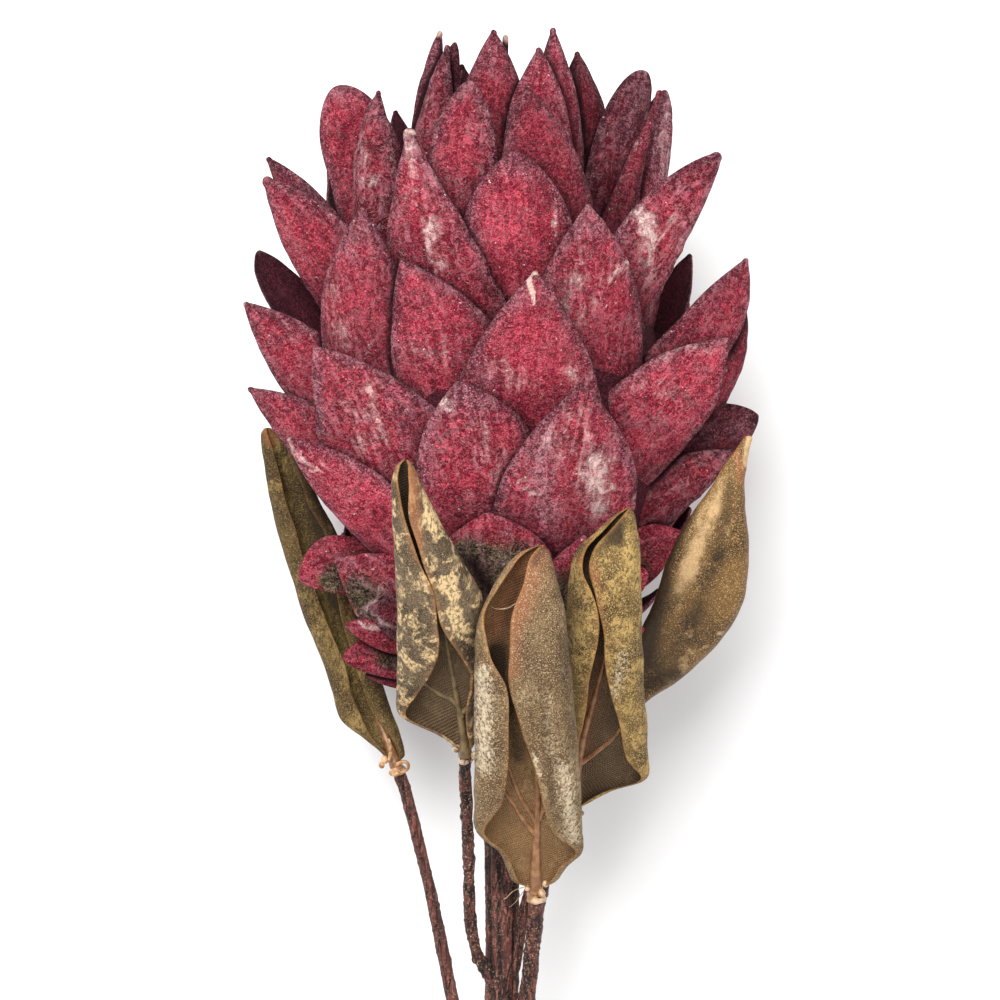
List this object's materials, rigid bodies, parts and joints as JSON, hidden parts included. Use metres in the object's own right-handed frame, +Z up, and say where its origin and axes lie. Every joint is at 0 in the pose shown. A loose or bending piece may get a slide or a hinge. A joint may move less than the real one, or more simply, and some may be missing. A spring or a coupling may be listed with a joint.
{
  "type": "artificial dried protea stem",
  "caption": "Artificial dried-look protea lying on its back: a large head of layered burgundy bracts on a cut branching stem with curled brown leaves.",
  "frame": {"origin": "on the surface the stem lies on, under the centre of the whole object's box", "axes": "+Y along the stem from its cut end towards the tip of the head, +Z up from the surface, +X to the right of someone who looks at the leafy side"},
  "size_m": [0.1312, 0.3964, 0.123],
  "materials": {
    "bracts": "matt burgundy felt with pale frosted patches, darker edges and cream tips",
    "leaves": "matt olive to golden brown with cream mottling, fine weave and raised veins on the inner side",
    "stem_bark": "dull dark red-brown moulded bark with pale and black speckles",
    "glue": "cloudy amber hot-melt glue"
  },
  "bodies": {
    "root": {"bloom": "bracts", "stem": "stem_bark", "leaf_far_left": "leaves", "leaf_left": "leaves", "leaf_middle": "leaves", "leaf_right": "leaves", "leaf_far_right": "leaves", "glue_far_left": "glue", "glue_left": "glue", "glue_middle": "glue", "glue_right": "glue", "glue_far_right": "glue"}
  },
  "joints": []
}
